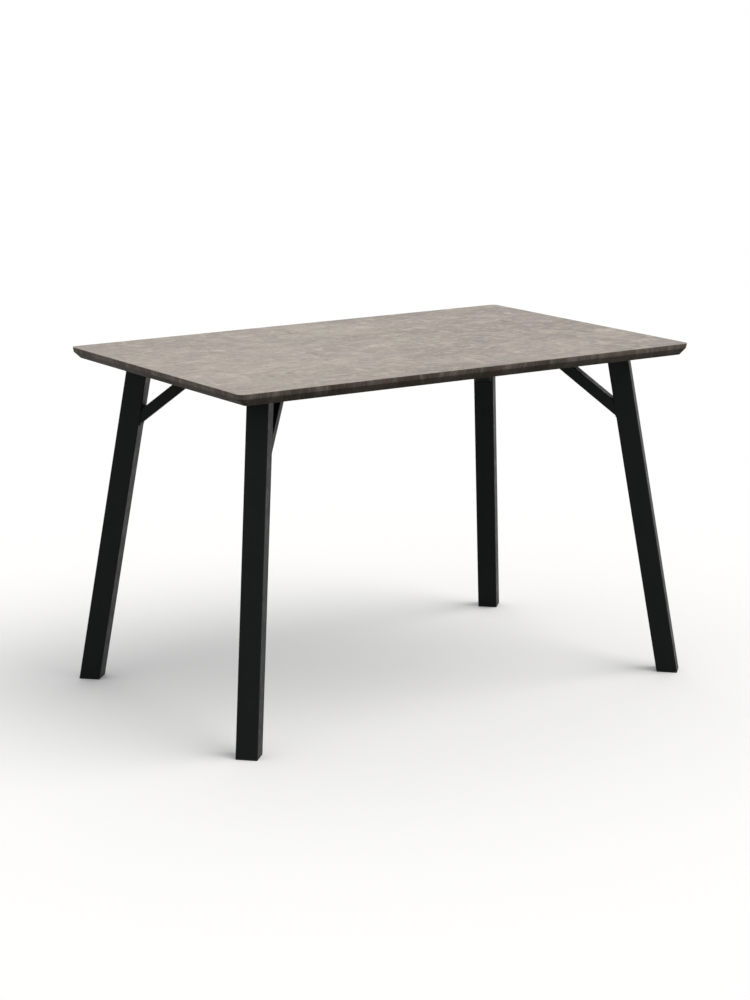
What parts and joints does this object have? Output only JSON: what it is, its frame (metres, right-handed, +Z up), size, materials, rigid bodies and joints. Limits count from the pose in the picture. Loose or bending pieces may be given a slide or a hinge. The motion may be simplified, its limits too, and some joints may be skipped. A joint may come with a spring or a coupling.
{
  "type": "extendable dining table",
  "caption": "Rectangular dining table on splayed, braced square-tube legs; the top parts in the middle to take a stored leaf.",
  "frame": {"origin": "on the floor under the middle of the closed table", "axes": "+X along the length, -Y is the front long side, +Z up"},
  "size_m": [1.222, 0.778, 0.78],
  "materials": {
    "concrete_laminate": "matt laminate with a cloudy concrete look on chipboard",
    "black_steel": "fine satin black powder coat",
    "zinc_steel": "zinc plated",
    "aluminium": "mill finish, drawn",
    "white_nylon": "moulded nylon",
    "black_plastic": "moulded, fine grain",
    "beech": "turned, unfinished"
  },
  "bodies": {
    "root": {"beam_front": "aluminium", "beam_rear": "aluminium", "tray_bar_left": "black_steel", "tray_bar_centre": "black_steel", "tray_bar_right": "black_steel", "pinion_housing": "zinc_steel", "pinion_axle": "zinc_steel", "leaf_board_lower": "concrete_laminate", "leaf_board_upper": "concrete_laminate", "leaf_hinge_left": "zinc_steel", "leaf_hinge_right": "zinc_steel"},
    "left_half": {"top_half_left": "concrete_laminate", "leg_front_left": "black_steel", "brace_front_left": "black_steel", "strap_front_left": "black_steel", "glide_front_left": "black_plastic", "rail_front_left": "zinc_steel", "strap_screw_front_left_1": "zinc_steel", "strap_screw_front_left_2": "zinc_steel", "strap_screw_front_left_3": "zinc_steel", "leg_rear_left": "black_steel", "brace_rear_left": "black_steel", "strap_rear_left": "black_steel", "glide_rear_left": "black_plastic", "rail_rear_left": "zinc_steel", "strap_screw_rear_left_1": "zinc_steel", "strap_screw_rear_left_2": "zinc_steel", "strap_screw_rear_left_3": "zinc_steel", "rack_left": "white_nylon", "rack_bracket_left": "zinc_steel", "dowel_1": "beech", "dowel_2": "beech", "dowel_3": "beech", "latch_base_front": "zinc_steel", "latch_base_rear": "zinc_steel"},
    "right_half": {"top_half_right": "concrete_laminate", "leg_front_right": "black_steel", "brace_front_right": "black_steel", "strap_front_right": "black_steel", "glide_front_right": "black_plastic", "rail_front_right": "zinc_steel", "strap_screw_front_right_1": "zinc_steel", "strap_screw_front_right_2": "zinc_steel", "strap_screw_front_right_3": "zinc_steel", "leg_rear_right": "black_steel", "brace_rear_right": "black_steel", "strap_rear_right": "black_steel", "glide_rear_right": "black_plastic", "rail_rear_right": "zinc_steel", "strap_screw_rear_right_1": "zinc_steel", "strap_screw_rear_right_2": "zinc_steel", "strap_screw_rear_right_3": "zinc_steel", "rack_right": "white_nylon", "rack_bracket_right": "zinc_steel", "latch_keeper_front": "zinc_steel", "latch_keeper_rear": "zinc_steel"},
    "pinion_gear": {"pinion": "white_nylon"},
    "latch_front": {"latch_hook_front": "black_steel"},
    "latch_rear": {"latch_hook_rear": "black_steel"}
  },
  "joints": [
    {"name": "left_slide", "type": "slide", "parent": "root", "child": "left_half", "axis": [-1, 0, 0], "range_m": [0, 0.2]},
    {"name": "right_slide", "type": "slide", "parent": "root", "child": "right_half", "axis": [1, 0, 0], "range_m": [0, 0.2]},
    {"name": "pinion_turn", "type": "hinge", "parent": "root", "child": "pinion_gear", "pos_m": [0, 0, 0.718], "axis": [0, 0, 1], "range_deg": [0, 638]},
    {"name": "latch_front_swing", "type": "hinge", "parent": "left_half", "child": "latch_front", "pos_m": [-0.012, -0.2708, 0.759], "axis": [0, 0, -1], "range_deg": [0, 90]},
    {"name": "latch_rear_swing", "type": "hinge", "parent": "left_half", "child": "latch_rear", "pos_m": [-0.012, 0.2708, 0.759], "axis": [0, 0, 1], "range_deg": [0, 90]}
  ],
  "couplings": [
    {"joint": "right_slide", "follows": "left_slide", "ratio": 1},
    {"joint": "pinion_turn", "follows": "left_slide", "rad_per_m": 55.556}
  ]
}
